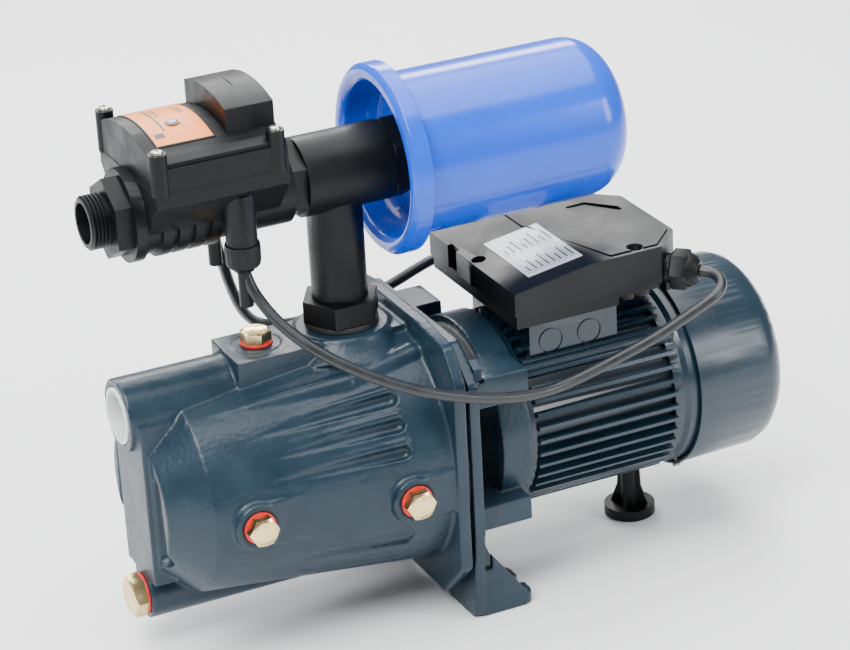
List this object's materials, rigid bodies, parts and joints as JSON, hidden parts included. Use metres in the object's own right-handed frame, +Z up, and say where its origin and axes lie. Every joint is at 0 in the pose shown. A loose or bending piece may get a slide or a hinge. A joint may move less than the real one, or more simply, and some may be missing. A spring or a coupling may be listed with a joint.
{
  "type": "shallow well jet pump",
  "caption": "Self-priming shallow well jet pump on its motor, with an outlet tee, flow controller, small pressure tank and cords.",
  "frame": {"origin": "on the base plane, midway between the two foot bolt slots of the motor bracket", "axes": "+X along the shaft from the suction nose towards the fan, +Z up, +Y to the left seen from the fan end"},
  "size_m": [0.44, 0.3045, 0.356],
  "materials": {
    "casing_paint": "satin blue-grey paint on a sand-cast skin",
    "motor_paint": "satin blue-grey paint",
    "tank_paint": "glossy blue paint",
    "black_plastic": "fine moulded texture",
    "cover_plastic": "satin moulded plastic",
    "white_plastic": "satin",
    "brass": "machined",
    "zinc_steel": "zinc plated",
    "stainless": "turned or pressed",
    "fibre_red": "red sealing washer",
    "seal_rubber": "black rubber",
    "carbon": "lapped seal faces",
    "cord_rubber": "satin black sheath",
    "copper": "lacquered winding wire",
    "lamination": "stacked steel sheet",
    "label_orange": "printed foil, blank blocks",
    "label_silver": "foil plate with ruled lines",
    "button_red": "translucent button",
    "board_green": "circuit board",
    "cream_plastic": "moulded terminal strip"
  },
  "bodies": {
    "pump_unit": {"pump_casing": "casing_paint", "suction_insert": "white_plastic", "jet_nozzle": "black_plastic", "venturi_tube": "black_plastic", "diffuser": "black_plastic", "seal_plate": "stainless", "casing_gasket": "seal_rubber", "seal_seat": "carbon", "motor_bracket": "casing_paint", "flange_bolts": "casing_paint", "side_plugs": "brass", "plug_washers": "fibre_red", "motor_frame": "motor_paint", "stator_core": "lamination", "stator_windings": "copper", "bearing_outer_rings": "stainless", "rear_end_shield": "motor_paint", "end_shield_screws": "zinc_steel", "fan_cover": "motor_paint", "fan_cover_screws": "zinc_steel", "rear_foot": "black_plastic", "terminal_base": "black_plastic", "terminal_cover": "cover_plastic", "terminal_cover_screws": "zinc_steel", "rating_plate": "label_silver", "terminal_block": "cream_plastic", "run_capacitor": "label_silver", "terminal_gland_nut": "black_plastic", "outlet_nipple": "black_plastic", "nipple_seal": "seal_rubber", "outlet_tee": "black_plastic", "tank_nipple": "black_plastic", "tank_shell": "tank_paint", "tank_front_plate": "tank_paint", "tank_membrane": "seal_rubber", "tank_valve_cap": "black_plastic", "controller_body": "black_plastic", "controller_lid": "black_plastic", "controller_screws": "zinc_steel", "controller_label": "label_orange", "controller_board": "board_green", "controller_gland_nuts": "black_plastic", "jumper_cord": "cord_rubber", "mains_cord": "cord_rubber", "mains_cord_coil": "cord_rubber", "mains_plug": "cord_rubber", "plug_pins": "stainless"},
    "rotor": {"rotor_shaft": "stainless", "rotor_core": "lamination", "impeller": "brass", "impeller_nut": "stainless", "seal_head": "carbon", "seal_spring": "stainless", "bearing_inner_rings": "stainless", "bearing_balls": "stainless", "cooling_fan": "black_plastic"},
    "priming_plug": {"priming_plug": "brass"},
    "drain_plug": {"drain_plug": "brass"},
    "restart_button": {"restart_button": "button_red"},
    "flow_poppet": {"flow_poppet": "white_plastic"}
  },
  "joints": [
    {"name": "rotor_spin", "type": "hinge", "parent": "pump_unit", "child": "rotor", "pos_m": [0, 0, 0.1025], "axis": [1, 0, 0], "continuous": true},
    {"name": "priming_plug_draw", "type": "slide", "parent": "pump_unit", "child": "priming_plug", "axis": [0, 0, 1], "range_m": [0, 0.02]},
    {"name": "drain_plug_draw", "type": "slide", "parent": "pump_unit", "child": "drain_plug", "axis": [-1, 0, 0], "range_m": [0, 0.02]},
    {"name": "restart_button_press", "type": "slide", "parent": "pump_unit", "child": "restart_button", "axis": [0, 0, -1], "range_m": [0, 0.0015], "stiffness_N_per_m": 600},
    {"name": "flow_poppet_lift", "type": "slide", "parent": "pump_unit", "child": "flow_poppet", "axis": [-1, 0, 0], "range_m": [0, 0.008], "stiffness_N_per_m": 30}
  ]
}
